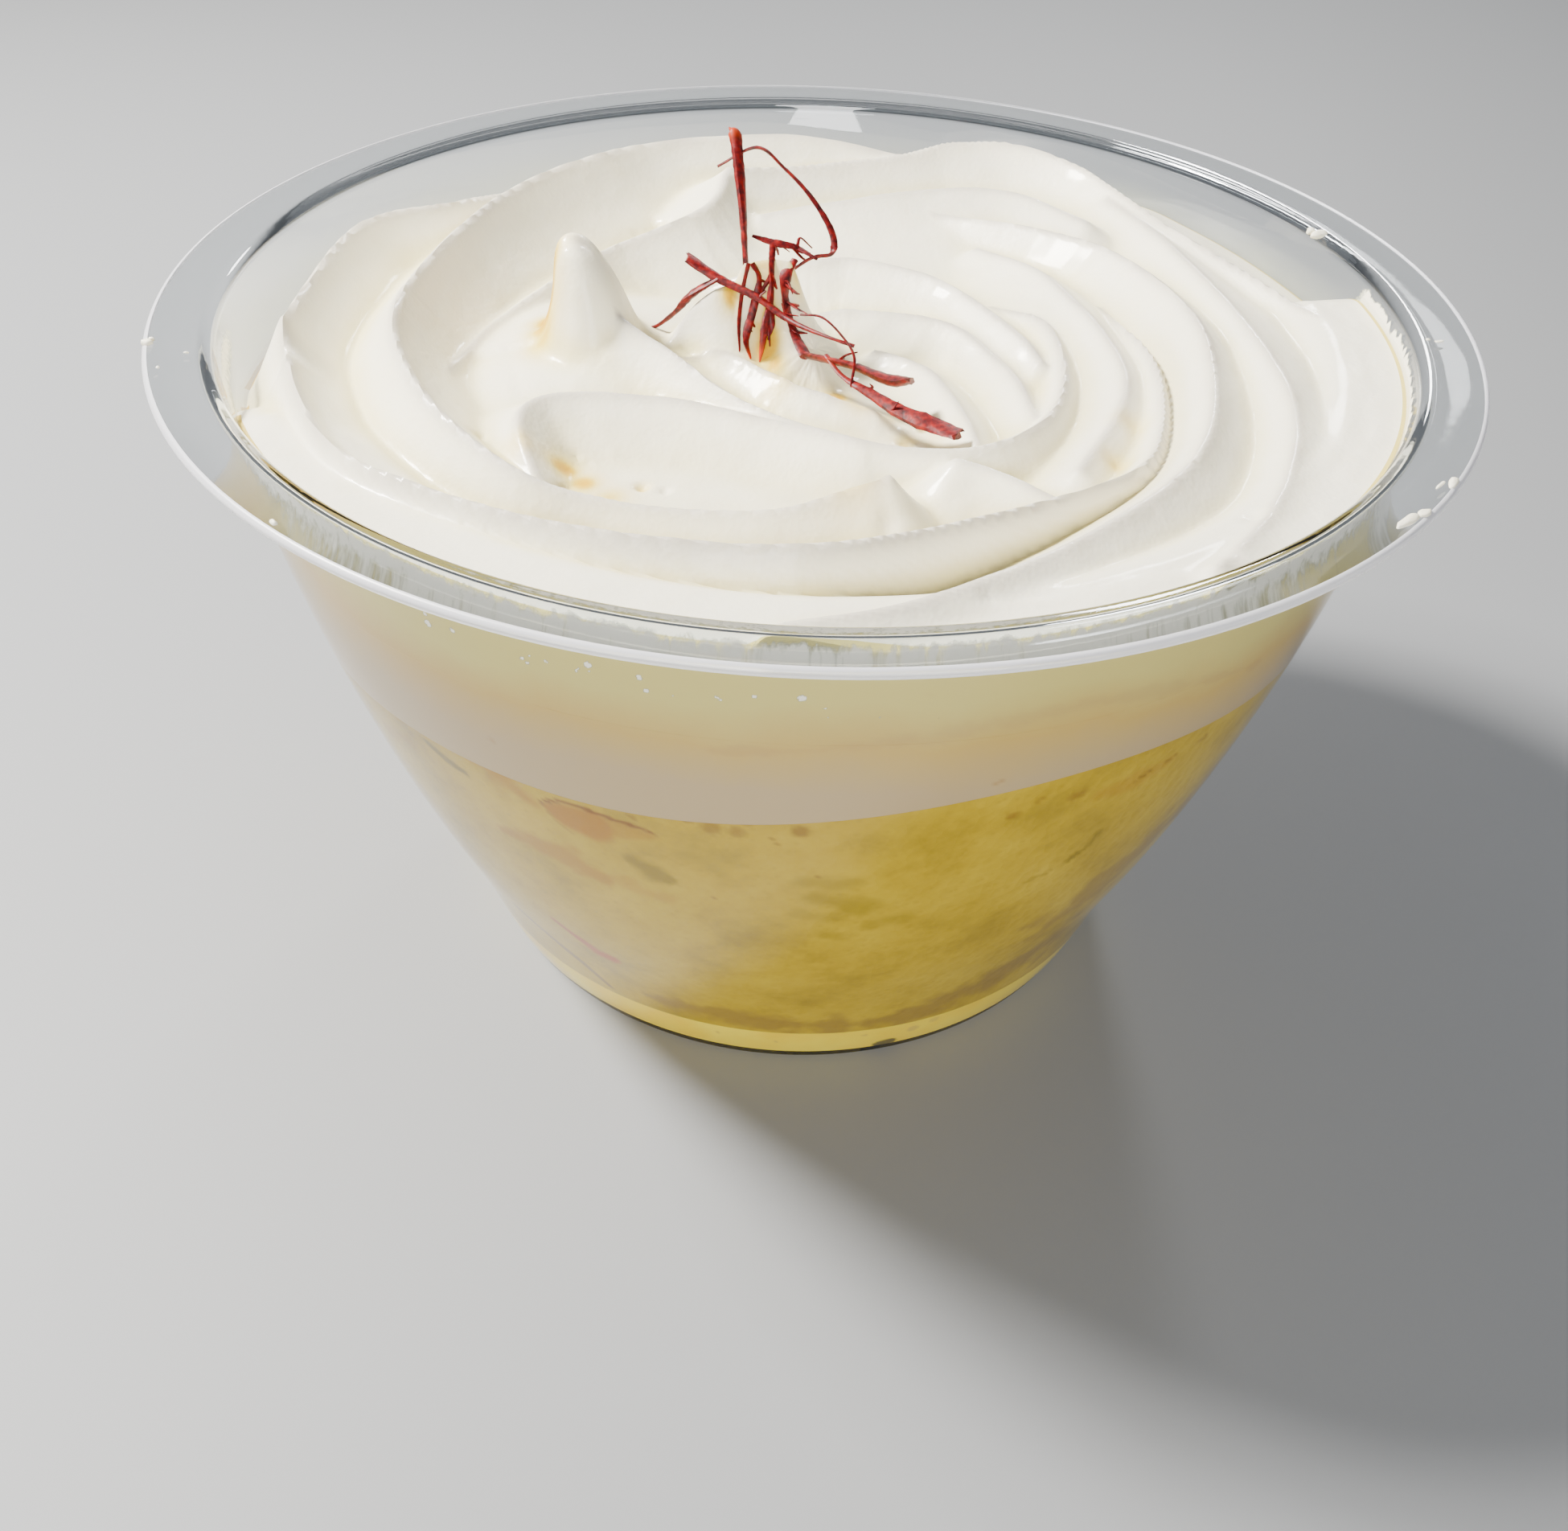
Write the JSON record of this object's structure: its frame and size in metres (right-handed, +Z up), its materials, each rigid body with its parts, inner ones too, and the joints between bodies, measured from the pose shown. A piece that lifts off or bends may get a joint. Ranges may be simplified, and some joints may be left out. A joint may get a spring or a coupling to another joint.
{
  "type": "milk cake in a dessert cup",
  "caption": "Soaked sponge cake in a clear dessert cup, under whipped cream with a piped swirl and saffron strands on top.",
  "frame": {"origin": "middle of the cup's foot, on the surface it stands on", "axes": "+Z up along the cup's axis, -Y towards the front"},
  "size_m": [0.115, 0.115, 0.0757],
  "materials": {
    "clear_plastic": "clear, moulded, glossy",
    "saffron_milk": "opaque pale yellow liquid",
    "soaked_sponge": "moist porous crumb",
    "whipped_cream": "smooth, satin",
    "piped_cream": "smooth, satin",
    "saffron": "dry dark red strands"
  },
  "bodies": {
    "root": {"cup": "clear_plastic", "saffron_milk": "saffron_milk", "sponge_cake": "soaked_sponge", "cream_layer": "whipped_cream", "cream_swirl": "piped_cream"}
  },
  "joints": []
}
